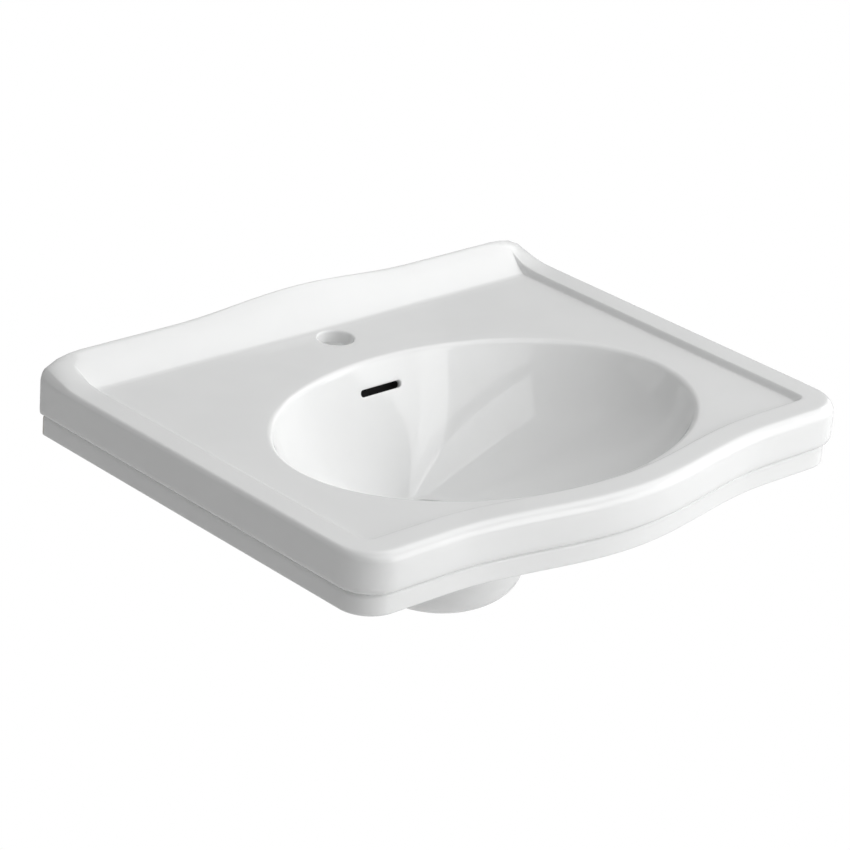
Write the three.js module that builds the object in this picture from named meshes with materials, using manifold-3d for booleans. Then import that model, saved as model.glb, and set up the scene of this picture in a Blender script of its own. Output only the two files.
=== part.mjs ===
// Washbasin of vitreous china, 600 mm wide, with its wall fixings and its push-open waste.
// Millimetres, +Z up, +X to the right. The origin is in the middle of the flat back face at
// the height of the rim, the wall is on the +Y side and the bowl is on the -Y side.

import * as THREE from 'three';
import { mergeVertices } from 'three/addons/utils/BufferGeometryUtils.js';
import Module from 'manifold-3d';

const wasm = await Module();
wasm.setup();

// Driving dimensions of the basin.
const WIDTH = 600;
const SIDE_DEPTH = 457.5;
const BOW = 26;
const BOW_HALF_WIDTH = 200;
const FRONT_RADIUS = 38;
const BACK_RADIUS = 5;
const DECK_Z = -6;
const DECK_THICK = 13;
const GROOVE_Z = -39.2;
const BAND_INSET = 6.1;
const SKIRT_Z = -61;
const SKIRT_THICK = 14;
const CREST = 20;
const HUMP = 8;
const HUMP_HALF_WIDTH = 150;
const SHOULDER = 46;
const COVE_FOOT = 48;
const COVE_TOP = 6;

// Bowl: the lip on the deck and the ring round the drain.
const LIP = { x: 226, front: -443, back: -121 };
const LIP_ROUND = 7;
const OVAL_WIDEST = 0.49;
const SHELL = 13;
const DRAIN_Y = -215;
const DRAIN_Z = -134;
const DRAIN_R = 36;
const RECESS_DEPTH = 5;
const THROAT_R = 22.5;

// Boss under the bowl that the waste is clamped to.
const BOSS = { y: -228.7, z: -171.6, radius: 82.3, height: 43.1 };
const BOSS_FLAT_R = 50;
const BOSS_BOTTOM_Z = -206;
const CLAMP_Z = -190;
const CLAMP_RECESS_R = 37;

// Tap hole and overflow.
const TAP_HOLE = { y: -66.8, r: 17.5 };
const SLOT = { y: -135, z: -34, half: 21.6, r: 3.4, tilt: 60 };
const CHANNEL = { wide: 30, deep: 9 };

// Back apron with the two fixing holes.
const APRON = { half: 190, thick: 14, bottom: -150, corner: 28 };
const FIXING = { x: 140, z: -100, padThick: 26, padHalf: 30, holeR: 12.5 };

// Outline of the basin as equal numbers of points for every inset.
const SIDE_STEPS = 5;
const CORNER_STEPS = 5;
const FRONT_STEPS = 16;
const BACK_STEPS = 14;
const BACK_CORNER_STEPS = 2;

const GAP = 0.3;
const ROUND = 32;

const glaze = { color: 0xf2f3f3, roughness: 0.12, metalness: 0 };
const chrome = { color: 0xc9ccd0, roughness: 0.1, metalness: 1 };
const brass = { color: 0xb9924a, roughness: 0.3, metalness: 1 };
const zinc = { color: 0xa9adb2, roughness: 0.35, metalness: 1 };
const rubber = { color: 0x1d1d1f, roughness: 0.8, metalness: 0 };
const nylon = { color: 0xe8e6df, roughness: 0.5, metalness: 0 };
const greyNylon = { color: 0x8d9196, roughness: 0.55, metalness: 0 };

const sink = new THREE.Group();

function closed(geometry) {
  const plain = geometry.index ? geometry.toNonIndexed() : geometry.clone();
  plain.deleteAttribute('normal');
  plain.deleteAttribute('uv');
  return mergeVertices(plain, 1e-4);
}

function solid(geometry) {
  const merged = closed(geometry);
  const triangles = Uint32Array.from(merged.index.array);
  const vertices = Float32Array.from(merged.attributes.position.array);
  if (signedVolume(vertices, triangles) < 0) {
    for (let i = 0; i < triangles.length; i += 3) {
      [triangles[i], triangles[i + 1]] = [triangles[i + 1], triangles[i]];
    }
  }
  const mesh = new wasm.Mesh({ numProp: 3, vertProperties: vertices, triVerts: triangles });
  mesh.merge();
  return new wasm.Manifold(mesh);
}

function signedVolume(vertices, triangles) {
  const corner = (i) => new THREE.Vector3().fromArray(vertices, triangles[i] * 3);
  let volume = 0;
  for (let i = 0; i < triangles.length; i += 3) {
    volume += corner(i).dot(corner(i + 1).cross(corner(i + 2))) / 6;
  }
  return volume;
}

function geometryOf(manifold) {
  const mesh = manifold.getMesh();
  const geometry = new THREE.BufferGeometry();
  geometry.setAttribute('position', new THREE.BufferAttribute(mesh.vertProperties, 3));
  geometry.setIndex(new THREE.BufferAttribute(mesh.triVerts, 1));
  return geometry;
}

function add(name, shape, finish) {
  const geometry = shape instanceof THREE.BufferGeometry ? geometryOf(solid(shape)) : geometryOf(shape);
  const mesh = new THREE.Mesh(geometry, new THREE.MeshStandardMaterial(finish));
  mesh.name = name;
  sink.add(mesh);
  return mesh;
}

// A ring or cup turned about Z from a closed list of [radius, height] pairs.
function turned(profile, steps = ROUND) {
  const points = profile.map(([r, z]) => new THREE.Vector2(r, z));
  const open = points[0].x > 0 || points[points.length - 1].x > 0;
  if (open) points.push(points[0].clone());
  return new THREE.LatheGeometry(points, steps).rotateX(Math.PI / 2);
}

function cylinder(r, z0, z1, x = 0, y = 0, steps = ROUND) {
  const geometry = new THREE.CylinderGeometry(r, r, z1 - z0, steps).rotateX(Math.PI / 2);
  return geometry.translate(x, y, (z0 + z1) / 2);
}

function box(x0, x1, y0, y1, z0, z1) {
  const geometry = new THREE.BoxGeometry(x1 - x0, y1 - y0, z1 - z0);
  return geometry.translate((x0 + x1) / 2, (y0 + y1) / 2, (z0 + z1) / 2);
}

// How far the front bows out past the corners, at a distance x from the middle.
function bow(x) {
  const t = Math.min(Math.abs(x) / BOW_HALF_WIDTH, 1);
  return BOW * (0.5 + 0.5 * Math.cos(Math.PI * t));
}

// Plan outline at an inset from the sides, the front and the back, anticlockwise from the
// back right corner. Every inset gives the same number of points.
function outline(side, front, back) {
  const x = WIDTH / 2 - side;
  const r = Math.max(FRONT_RADIUS - side, 10);
  const yFront = front - SIDE_DEPTH;
  const rb = Math.max(BACK_RADIUS - side, 1);
  const points = [];
  const arc = (cx, cy, radius, from, steps) => {
    for (let i = 0; i <= steps; i += 1) {
      const a = from + (Math.PI / 2) * (i / steps);
      points.push(new THREE.Vector2(cx + radius * Math.cos(a), cy + radius * Math.sin(a)));
    }
  };
  const line = (ax, ay, bx, by, steps, rise = () => 0) => {
    for (let i = 1; i < steps; i += 1) {
      const px = ax + ((bx - ax) * i) / steps;
      points.push(new THREE.Vector2(px, ay + ((by - ay) * i) / steps - rise(px)));
    }
  };
  arc(x - rb, -back - rb, rb, 0, BACK_CORNER_STEPS);
  line(x - rb, -back, rb - x, -back, BACK_STEPS);
  arc(rb - x, -back - rb, rb, Math.PI / 2, BACK_CORNER_STEPS);
  line(-x, -back - rb, -x, yFront + r, SIDE_STEPS);
  arc(r - x, yFront + r, r, Math.PI, CORNER_STEPS);
  line(r - x, yFront, x - r, yFront, FRONT_STEPS, bow);
  arc(x - r, yFront + r, r, (3 * Math.PI) / 2, CORNER_STEPS);
  line(x, yFront + r, x, -back - rb, SIDE_STEPS);
  return points;
}

// Directions of the outline points as angles on the bowl, evened out by half.
const outerOutline = outline(0, 0, 0);
const RING = outerOutline.length;
const middleY = (LIP.front + LIP.back) / 2;
const halfBowl = (LIP.back - LIP.front) / 2;
const seenFromBowl = (p) => Math.atan2((p.y - middleY) / halfBowl, p.x / LIP.x);
const angles = outerOutline.map((p, i) => {
  const start = seenFromBowl(outerOutline[0]);
  const turn = (2 * Math.PI * i) / RING;
  const seen = (seenFromBowl(p) - start + 2 * Math.PI) % (2 * Math.PI);
  return start + seen * 0.6 + turn * 0.4;
});

// An oval ring from its half width and its front and back ends.
function oval(x, front, back) {
  const centre = back + (front - back) * OVAL_WIDEST;
  return angles.map((a) => {
    const reach = Math.sin(a) > 0 ? back - centre : centre - front;
    return new THREE.Vector2(x * Math.cos(a), centre + reach * Math.sin(a));
  });
}

function circle(r, y) {
  return angles.map((a) => new THREE.Vector2(r * Math.cos(a), y + r * Math.sin(a)));
}

// Height of the back upstand over the rim at the place x.
function crest(x) {
  const t = Math.min(Math.abs(x) / HUMP_HALF_WIDTH, 1);
  const hump = HUMP * (0.5 + 0.5 * Math.cos(Math.PI * t));
  const end = Math.max((Math.abs(x) - (WIDTH / 2 - SHOULDER)) / SHOULDER, 0);
  return (CREST + hump) * Math.pow(Math.max(1 - Math.pow(end, 2.1), 0), 1 / 2.1);
}

// The cove between the deck and the crest, from 0 at its foot to 1 at the wall.
function cove(y) {
  const t = THREE.MathUtils.clamp((y + COVE_FOOT) / (COVE_FOOT - COVE_TOP), 0, 1);
  return Math.pow(t, 1.75);
}

const level = (z) => () => z;
const raised = (z) => (x, y) => z + crest(x) * cove(y);

// Share of the bowl's reach that is left at a share d of its depth: k is the straight part.
function wall(d, k) {
  return k * (1 - d) + (1 - k) * (1 - Math.pow(d, 2.3));
}

// Bowl section at a share d of the depth below the rounded lip.
function bowlOval(d, out = 0) {
  const lip = LIP_ROUND * Math.sin(Math.PI / 3);
  const reach = (end, drain, k) => drain + (end - drain) * wall(d, k);
  const x = reach(LIP.x - lip, DRAIN_R, 0.3);
  const front = reach(LIP.front + lip, DRAIN_Y - DRAIN_R, 0.3);
  const back = reach(LIP.back - lip, DRAIN_Y + DRAIN_R, 0.75);
  return oval(x + out, front - out, back + out);
}

const WALL_TOP_Z = DECK_Z - LIP_ROUND / 2;
const bowlZ = (d) => WALL_TOP_Z + (DRAIN_Z - WALL_TOP_Z) * d;

// The stations of the china body, from the drain up the bowl, over the deck and the rim,
// down the side, back under the deck, down the outside of the bowl and up the throat.
function bodyStations() {
  const list = [];
  const at = (points, height) => list.push({ points, height });
  at(circle(THROAT_R, DRAIN_Y), level(DRAIN_Z - RECESS_DEPTH));
  at(circle(DRAIN_R - 1.5, DRAIN_Y), level(DRAIN_Z - RECESS_DEPTH));
  at(circle(DRAIN_R - 0.5, DRAIN_Y), level(DRAIN_Z - 1));
  for (const d of [1, 0.95, 0.88, 0.78, 0.66, 0.52, 0.38, 0.25, 0.12, 0]) {
    at(bowlOval(d), level(bowlZ(d)));
  }
  for (const turn of [2, 1, 0]) {
    const a = (turn * Math.PI) / 9;
    const inset = LIP_ROUND * Math.sin(a);
    at(oval(LIP.x - inset, LIP.front + inset, LIP.back - inset), level(DECK_Z - LIP_ROUND * (1 - Math.cos(a))));
  }
  at(outline(33, 39, COVE_FOOT), level(DECK_Z));
  at(outline(31, 36.6, 39), raised(DECK_Z + 1.2));
  at(outline(28.6, 33.6, 28), raised(DECK_Z + 4.8));
  at(outline(26.5, 31.5, 17), raised(0));
  at(outline(10, 11, 9), raised(0));
  at(outline(4.5, 5, 3.5), raised(-1.6));
  at(outline(1.3, 1.4, 1), raised(-4.6));
  at(outline(0, 0, 0), raised(-9.5));
  at(outline(0, 0, 0), level(-29));
  at(outline(1.2, 1.2, 0), level(-34));
  at(outline(3.4, 3.4, 0), level(-37.4));
  at(outline(BAND_INSET, BAND_INSET, 0), level(GROOVE_Z));
  at(outline(BAND_INSET, BAND_INSET, 0), level(SKIRT_Z + 2));
  at(outline(BAND_INSET + 2, BAND_INSET + 2, 0), level(SKIRT_Z));
  const inner = BAND_INSET + SKIRT_THICK;
  at(outline(inner, inner, APRON.thick), level(SKIRT_Z));
  at(outline(inner + 3, inner + 3, APRON.thick + 3), level(DECK_Z - DECK_THICK - 4));
  at(outline(inner + 7, inner + 7, APRON.thick + 7), level(DECK_Z - DECK_THICK));
  at(oval(LIP.x + SHELL + 4, LIP.front - SHELL + 4, LIP.back + SHELL + 4), level(DECK_Z - DECK_THICK));
  for (const d of [0.1, 0.25, 0.42, 0.58, 0.74]) {
    at(bowlOval(d, SHELL), level(bowlZ(d) - 9));
  }
  const lower = (a) => [BOSS.radius * Math.cos(a), BOSS.z - BOSS.height * Math.sin(a)];
  at(circle(BOSS.radius + 3, BOSS.y), level(-142));
  for (const degrees of [0, 14, 27, 39]) {
    const [r, z] = lower((degrees * Math.PI) / 180);
    at(circle(r, BOSS.y), level(z));
  }
  at(circle(BOSS_FLAT_R, BOSS.y), level(BOSS_BOTTOM_Z));
  at(circle(CLAMP_RECESS_R, DRAIN_Y - 2), level(BOSS_BOTTOM_Z));
  at(circle(CLAMP_RECESS_R - 0.8, DRAIN_Y), level(CLAMP_Z));
  at(circle(THROAT_R, DRAIN_Y), level(CLAMP_Z));
  return list;
}

// A closed skin through the stations: the grid of a lathe whose points move to their places.
function skin(stations) {
  const rows = stations.length + 1;
  const grid = new THREE.LatheGeometry(stations.concat(stations[0]).map(() => new THREE.Vector2(1, 0)), RING);
  const position = grid.attributes.position;
  for (let i = 0; i <= RING; i += 1) {
    for (let j = 0; j < rows; j += 1) {
      const station = stations[j % stations.length];
      const p = station.points[i % RING];
      position.setXYZ(i * rows + j, p.x, p.y, station.height(p.x, p.y));
    }
  }
  return grid;
}

// The back wall below the deck, with thick pads round the fixing holes and a rib behind the bowl.
function apron() {
  const { half, thick, bottom, corner } = APRON;
  const top = DECK_Z - DECK_THICK / 2;
  const face = new THREE.Shape();
  face.moveTo(-half, top);
  face.lineTo(-half, bottom + corner);
  face.absarc(corner - half, bottom + corner, corner, Math.PI, 1.5 * Math.PI);
  face.absarc(half - corner, bottom + corner, corner, 1.5 * Math.PI, 2 * Math.PI);
  face.lineTo(half, top);
  const plate = new THREE.ExtrudeGeometry(face, { depth: thick, bevelEnabled: false, curveSegments: 5 });
  let whole = solid(plate.rotateX(Math.PI / 2));
  for (const side of [-1, 1]) {
    const x = side * FIXING.x;
    const pad = new THREE.Shape();
    pad.moveTo(x - FIXING.padHalf, top);
    pad.absarc(x, FIXING.z, FIXING.padHalf, Math.PI, 2 * Math.PI);
    pad.lineTo(x + FIXING.padHalf, top);
    const slab = new THREE.ExtrudeGeometry(pad, { depth: FIXING.padThick, bevelEnabled: false, curveSegments: 10 });
    whole = whole.add(solid(slab.rotateX(Math.PI / 2)));
  }
  return whole;
}

// The route of the overflow water, from the slot down the back of the bowl to the throat.
function overflowRoute() {
  return new THREE.CatmullRomCurve3([
    new THREE.Vector3(0, SLOT.y + 8, SLOT.z - 3),
    new THREE.Vector3(0, SLOT.y + 11, SLOT.z - 12),
    new THREE.Vector3(0, SLOT.y + 10, SLOT.z - 32),
    new THREE.Vector3(0, -147, -105),
    new THREE.Vector3(0, -163, -148),
    new THREE.Vector3(0, -182, -168),
    new THREE.Vector3(0, DRAIN_Y + 12, -176),
  ]);
}

function along(route, wide, deep, steps) {
  const section = new THREE.Shape();
  section.moveTo(-wide / 2, -deep / 2);
  section.lineTo(wide / 2, -deep / 2);
  section.lineTo(wide / 2, deep / 2);
  section.lineTo(-wide / 2, deep / 2);
  return new THREE.ExtrudeGeometry(section, { extrudePath: route, steps, bevelEnabled: false });
}

function overflowRib() {
  const rib = new THREE.Shape();
  rib.moveTo(-104, DECK_Z - DECK_THICK / 2);
  rib.lineTo(-104, -70);
  rib.lineTo(-132, -150);
  rib.lineTo(-152, -184);
  rib.lineTo(-185, -184);
  rib.lineTo(-185, -146);
  rib.lineTo(-152, -90);
  rib.lineTo(-128, DECK_Z - DECK_THICK / 2);
  const wide = CHANNEL.wide + 20;
  const plate = new THREE.ExtrudeGeometry(rib, { depth: wide, bevelEnabled: false });
  return plate.rotateX(Math.PI / 2).rotateZ(Math.PI / 2).translate(-wide / 2, 0, 0);
}

function slotCutter() {
  const mouth = new THREE.Shape();
  mouth.absarc(-SLOT.half, 0, SLOT.r, Math.PI / 2, 1.5 * Math.PI);
  mouth.absarc(SLOT.half, 0, SLOT.r, -Math.PI / 2, Math.PI / 2);
  const cutter = new THREE.ExtrudeGeometry(mouth, { depth: 24, bevelEnabled: false, curveSegments: 8 });
  const tilt = THREE.MathUtils.degToRad(SLOT.tilt);
  return cutter.translate(0, 0, -14).rotateX(tilt).translate(0, SLOT.y, SLOT.z);
}

function china() {
  let body = solid(skin(bodyStations()));
  body = body.add(apron()).add(solid(overflowRib()));
  body = body.subtract(solid(cylinder(TAP_HOLE.r, -60, 20, 0, TAP_HOLE.y)));
  body = body.subtract(solid(slotCutter()));
  body = body.subtract(solid(along(overflowRoute(), CHANNEL.wide, CHANNEL.deep, 14)));
  for (const side of [-1, 1]) {
    const hole = cylinder(FIXING.holeR, -10, 60).rotateX(Math.PI / 2);
    body = body.subtract(solid(hole.translate(side * FIXING.x, 0, FIXING.z)));
  }
  return body;
}

// Upright prism over a plan outline.
function prism(points, z0, z1) {
  const plan = new wasm.CrossSection([points.map((p) => [p.x, p.y])]);
  return plan.extrude(z1 - z0).translate([0, 0, z0]);
}

// The china is divided at the underside of the deck, round the lip of the bowl, inside the skirt
// and in front of the apron, so that each piece is simple enough for its collision to follow it.
const SEAM = { lip: 3, skirt: 29, apron: -32 };
const TALL = { top: 60, bottom: -240 };

function addChina() {
  const whole = china();
  const underside = DECK_Z - DECK_THICK;
  const lipOval = (out) => oval(LIP.x + out, LIP.front - out, LIP.back + out);
  const lipPrism = (out) => prism(lipOval(SEAM.lip + out), TALL.bottom, TALL.top);
  const inside = (inset) => prism(outline(inset, inset, 0), TALL.bottom, underside - GAP);
  const below = solid(box(-WIDTH, WIDTH, -WIDTH, WIDTH, TALL.bottom, underside - GAP));
  const above = solid(box(-WIDTH, WIDTH, -WIDTH, WIDTH, underside, TALL.top));
  const front = (y) => solid(box(-WIDTH, WIDTH, -WIDTH, y, TALL.bottom, TALL.top));
  const upper = lipPrism(0).intersect(solid(box(-WIDTH, WIDTH, -WIDTH, WIDTH, underside - GAP, TALL.top)));
  const lower = inside(SEAM.skirt + GAP).intersect(front(SEAM.apron - GAP));

  add('basin_bowl', whole.intersect(upper.add(lower)), glaze);
  add('basin_deck', whole.intersect(above).subtract(lipPrism(GAP)), glaze);
  add('basin_skirt', whole.intersect(below).intersect(front(SEAM.apron - GAP)).subtract(inside(SEAM.skirt)), glaze);
  add('basin_apron', whole.intersect(below).subtract(front(SEAM.apron)), glaze);
}

// Waste: every piece is turned about the drain axis.
const FLOOR_Z = DRAIN_Z - RECESS_DEPTH;
const TAIL_R = 20.9;
const TAIL_BORE_R = 17.5;
const TAIL_END_Z = -226;
const NECK_R = THROAT_R - GAP;
const FLANGE_R = 31;
const SEAT_TOP = { r: 23, z: DRAIN_Z - 0.2 };
const SEAT_FOOT = { r: 18.5, z: DRAIN_Z - 6 };
const WINDOW = { half: 7, top: -160, bottom: -178 };
const CAP_FOOT_Z = DRAIN_Z - 5.5;
const HUB = { r: 8, boreR: 4.5, top: -184, bottom: -190 };

function atDrain(shape) {
  return shape.translate(0, DRAIN_Y, 0);
}

function wasteBody() {
  const flangeFoot = FLOOR_Z + 2.6;
  let body = solid(turned([
    [SEAT_TOP.r, SEAT_TOP.z],
    [24, DRAIN_Z],
    [30, DRAIN_Z - 0.3],
    [FLANGE_R, DRAIN_Z - 1.2],
    [FLANGE_R, flangeFoot],
    [NECK_R, flangeFoot],
    [NECK_R, flangeFoot - 5],
    [TAIL_R, flangeFoot - 6.5],
    [TAIL_R, TAIL_END_Z + 1],
    [TAIL_R - 1, TAIL_END_Z],
    [TAIL_BORE_R, TAIL_END_Z],
    [TAIL_BORE_R, SEAT_FOOT.z - 2],
    [SEAT_FOOT.r, SEAT_FOOT.z],
  ]));
  body = body.subtract(solid(box(-WINDOW.half, WINDOW.half, -30, 30, WINDOW.bottom, WINDOW.top)));
  const hub = turned([[HUB.boreR, HUB.top], [HUB.r, HUB.top], [HUB.r, HUB.bottom], [HUB.boreR, HUB.bottom]]);
  body = body.add(solid(hub));
  for (const turn of [0, 1, 2]) {
    const arm = box(HUB.r - 1, TAIL_BORE_R + 1, -1.5, 1.5, HUB.bottom, HUB.top - 1);
    body = body.add(solid(arm.rotateZ((turn * 2 * Math.PI) / 3)));
  }
  return body.translate([0, DRAIN_Y, 0]);
}

function ring(innerR, outerR, bottom, top, chamfer = 0) {
  return turned([
    [innerR, bottom],
    [outerR - chamfer, bottom],
    [outerR, bottom + chamfer],
    [outerR, top - chamfer],
    [outerR - chamfer, top],
    [innerR, top],
  ].filter((p, i, all) => i === 0 || p[0] !== all[i - 1][0] || p[1] !== all[i - 1][1]));
}

function hexNut(acrossFlats, holeR, thick, steps) {
  const corner = acrossFlats / Math.sqrt(3);
  const face = new THREE.Shape();
  for (let i = 0; i < 6; i += 1) {
    const a = (i * Math.PI) / 3;
    const move = i === 0 ? 'moveTo' : 'lineTo';
    face[move](corner * Math.cos(a), corner * Math.sin(a));
  }
  face.closePath();
  face.holes.push(new THREE.Path().absarc(0, 0, holeR, 0, 2 * Math.PI, true));
  const blank = solid(new THREE.ExtrudeGeometry(face, { depth: thick, bevelEnabled: false, curveSegments: steps / 2 }));
  const crown = turned([
    [0, 0],
    [acrossFlats / 2 - 0.2, 0],
    [corner, (corner - acrossFlats / 2) * 0.6],
    [corner, thick - (corner - acrossFlats / 2) * 0.6],
    [acrossFlats / 2 - 0.2, thick],
    [0, thick],
  ], steps);
  return blank.intersect(solid(crown));
}

function plugSpring() {
  const bottom = -158 + GAP + 0.9;
  const top = CAP_FOOT_Z - GAP - 0.9;
  const turns = 5;
  class Helix extends THREE.Curve {
    getPoint(t) {
      const a = 2 * Math.PI * turns * t;
      return new THREE.Vector3(5 * Math.cos(a), 5 * Math.sin(a), bottom + (top - bottom) * t);
    }
  }
  const wire = new THREE.Shape();
  wire.absarc(0, 0, 0.8, 0, 2 * Math.PI);
  const path = { extrudePath: new Helix(), steps: turns * 14, bevelEnabled: false, curveSegments: 3 };
  return new THREE.ExtrudeGeometry(wire, path);
}

function addWaste() {
  add('waste_body', wasteBody(), chrome);
  add('waste_top_gasket', atDrain(ring(THROAT_R + 0.5, 29.5, FLOOR_Z + GAP, FLOOR_Z + 2.3)), rubber);
  add('waste_bottom_gasket', atDrain(ring(TAIL_R + 0.4, 34, CLAMP_Z - 4.3, CLAMP_Z - GAP, 0.8)), rubber);
  add('waste_slip_washer', atDrain(ring(TAIL_R + 0.4, 33, CLAMP_Z - 6.1, CLAMP_Z - 4.6)), nylon);
  const backnut = hexNut(57, TAIL_R + 0.4, 11, ROUND);
  add('waste_backnut', backnut.translate([0, DRAIN_Y, CLAMP_Z - 17.4]), chrome);
  add('plug_cartridge', atDrain(turned([
    [0, -180], [2.8, -180], [2.8, -158], [7, -158], [7, HUB.top + GAP],
    [HUB.boreR - GAP, HUB.top + GAP], [HUB.boreR - GAP, -193], [0, -193],
  ], 20)), brass);
  add('plug_stem', atDrain(turned([[0, -179], [2.5, -179], [2.5, CAP_FOOT_Z + 2], [0, CAP_FOOT_Z + 2]], 20)), brass);
  const up = (profile) => profile.map(([r, z]) => [r, CAP_FOOT_Z + z]);
  add('plug_cap', atDrain(turned(up([
    [0, 7.9], [9, 7.6], [16, 6.6], [20.4, 4.9], [21.2, 4.1], [20.6, 3.3],
    [12, 3.3], [12, 0], [2.8, 0], [2.8, 2.3], [0, 2.3],
  ]))), chrome);
  const seal = up([[12.3, 3], [20.6, 3], [19.6, 1.5], [18.4, 0.3], [12.3, 0.3]]);
  add('plug_seal', atDrain(turned(seal)), rubber);
  add('plug_spring', atDrain(plugSpring()), zinc);
}

// Wall fixings: every piece is turned about an axis through a fixing hole, from the wall
// at y = 0 towards the front.
const STUD = { r: 5, inWall: 62, front: -50 };

function addFixing(side, name) {
  const place = (shape) => shape.rotateX(Math.PI / 2).translate(side * FIXING.x, 0, FIXING.z);
  const pad = FIXING.padThick;
  const bore = STUD.r + GAP;
  add(`hanger_stud_${name}`, place(turned([
    [0, -STUD.inWall], [STUD.r - 3, 4 - STUD.inWall], [STUD.r, 12 - STUD.inWall],
    [STUD.r, -STUD.front - 1], [STUD.r - 1, -STUD.front], [0, -STUD.front],
  ], 20)), zinc);
  add(`wall_plug_${name}`, place(turned([
    [bore, -STUD.inWall], [6, -STUD.inWall], [7, 6 - STUD.inWall], [7, -2.3], [8.5, -GAP], [bore, -GAP],
  ], 20)), greyNylon);
  add(`fixing_bush_${name}`, place(turned([
    [bore, 1], [FIXING.holeR - GAP, 1], [FIXING.holeR - GAP, pad + GAP],
    [17, pad + GAP], [17, pad + 2.6], [16.2, pad + 3.3], [bore, pad + 3.3],
  ], 24)), nylon);
  add(`fixing_washer_${name}`, place(ring(bore, 14, pad + 3.6, pad + 5.6)), zinc);
  const nut = geometryOf(hexNut(17, bore, 8.4, 24)).translate(0, 0, pad + 5.9);
  add(`fixing_nut_${name}`, place(nut), zinc);
}

addChina();
addWaste();
addFixing(-1, 'left');
addFixing(1, 'right');

export default sink;
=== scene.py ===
"""A white china washbasin with its waste, push-open plug and wall fixings.

Laid out as an add-on: each operator makes one piece or one group of like pieces, and main()
calls them in order. Metres, +Z up, the wall on the +Y side, the height 0 at the top of the rim.
"""

import math

import bmesh
import bpy
from bpy.props import FloatProperty, FloatVectorProperty, PointerProperty
from bpy.types import Operator, Panel, PropertyGroup
from mathutils import Matrix, Vector
from mathutils.bvhtree import BVHTree


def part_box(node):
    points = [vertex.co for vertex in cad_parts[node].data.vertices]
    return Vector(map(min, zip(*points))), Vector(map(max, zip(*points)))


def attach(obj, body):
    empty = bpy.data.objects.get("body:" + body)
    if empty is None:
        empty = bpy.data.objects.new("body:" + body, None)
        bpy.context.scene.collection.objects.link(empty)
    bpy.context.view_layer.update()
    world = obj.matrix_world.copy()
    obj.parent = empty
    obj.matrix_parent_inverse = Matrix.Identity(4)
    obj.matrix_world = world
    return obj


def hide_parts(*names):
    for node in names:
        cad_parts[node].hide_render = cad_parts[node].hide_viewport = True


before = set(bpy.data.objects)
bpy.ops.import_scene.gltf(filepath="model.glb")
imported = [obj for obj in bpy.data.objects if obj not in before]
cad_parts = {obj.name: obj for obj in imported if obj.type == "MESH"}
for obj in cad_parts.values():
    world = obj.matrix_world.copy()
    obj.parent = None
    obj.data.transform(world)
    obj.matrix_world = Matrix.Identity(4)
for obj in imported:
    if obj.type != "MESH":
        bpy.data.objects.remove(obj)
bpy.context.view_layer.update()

bl_info = {
    "name": "China Washbasin",
    "version": (1, 0, 0),
    "blender": (4, 5, 0),
    "location": "View3D > Sidebar > Washbasin",
    "description": "Makes a white china washbasin with its waste, plug and wall fixings",
    "category": "Add Mesh",
}

BASIN_LOW, BASIN_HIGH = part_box("basin_deck")
BOWL_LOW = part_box("basin_bowl")[0]
DRAIN_LOW, DRAIN_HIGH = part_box("waste_body")
FIXED_BODY = "basin_fixed"
PLUG_BODY = "plug"

MM = 0.001
CHINA_NODES = ("basin_bowl", "basin_deck", "basin_skirt", "basin_apron")
HALF_WIDTH = BASIN_HIGH[0]
FRONT_Y = BASIN_LOW[1]
BOSS_FOOT_Z = BOWL_LOW[2]
CREST_Z = BASIN_HIGH[2]
DRAIN_Y = (DRAIN_LOW[1] + DRAIN_HIGH[1]) / 2
DRAIN_Z = DRAIN_HIGH[2]


def clamp(value, low=0.0, high=1.0):
    return max(low, min(high, value))


def mix(a, b, share):
    return a + (b - a) * share


def ease(share):
    """Goes from 0 to 1 and starts and ends level."""
    t = clamp(share)
    return t * t * (3 - 2 * t)


def spread(count):
    """Shares from 0 to 1 in count equal steps."""
    return [i / count for i in range(count + 1)]


class ChinaSizes(PropertyGroup):
    """Sizes of the china that a maker would change."""

    bow: FloatProperty(name="Front bow", description="How far the front swells past the corners",
                       default=26 * MM, unit="LENGTH")
    bow_half: FloatProperty(name="Bow half width", description="Where the bow has died away",
                            default=200 * MM, unit="LENGTH")
    corner: FloatProperty(name="Front corner radius", description="Radius of the front corners",
                          default=38 * MM, unit="LENGTH")
    deck_drop: FloatProperty(name="Deck drop", description="Depth of the deck below the rim",
                             default=6 * MM, unit="LENGTH")
    deck_thick: FloatProperty(name="Deck thickness", description="Thickness of the china deck",
                              default=13 * MM, unit="LENGTH")
    groove: FloatProperty(name="Groove depth", description="Height of the step under the rim band",
                          default=39.2 * MM, unit="LENGTH")
    step: FloatProperty(name="Band step", description="How far the lower band is set in",
                        default=6.1 * MM, unit="LENGTH")
    skirt: FloatProperty(name="Skirt depth", description="Lower edge of the side band",
                         default=61 * MM, unit="LENGTH")
    hump: FloatProperty(name="Upstand hump", description="Extra height in the middle of the back",
                        default=8 * MM, unit="LENGTH")
    lip: FloatProperty(name="Bowl lip radius", description="Rounding of the edge of the bowl",
                       default=7 * MM, unit="LENGTH")


class ChinaColours(PropertyGroup):
    """Colours of the glaze and of the bare china."""

    glaze: FloatVectorProperty(name="Glaze", description="Colour of the white glaze",
                               default=(0.86, 0.865, 0.862), subtype="COLOR", size=3)
    bisque: FloatVectorProperty(name="Bare china", description="Colour of the unglazed back",
                                default=(0.72, 0.69, 0.63), subtype="COLOR", size=3)


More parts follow.
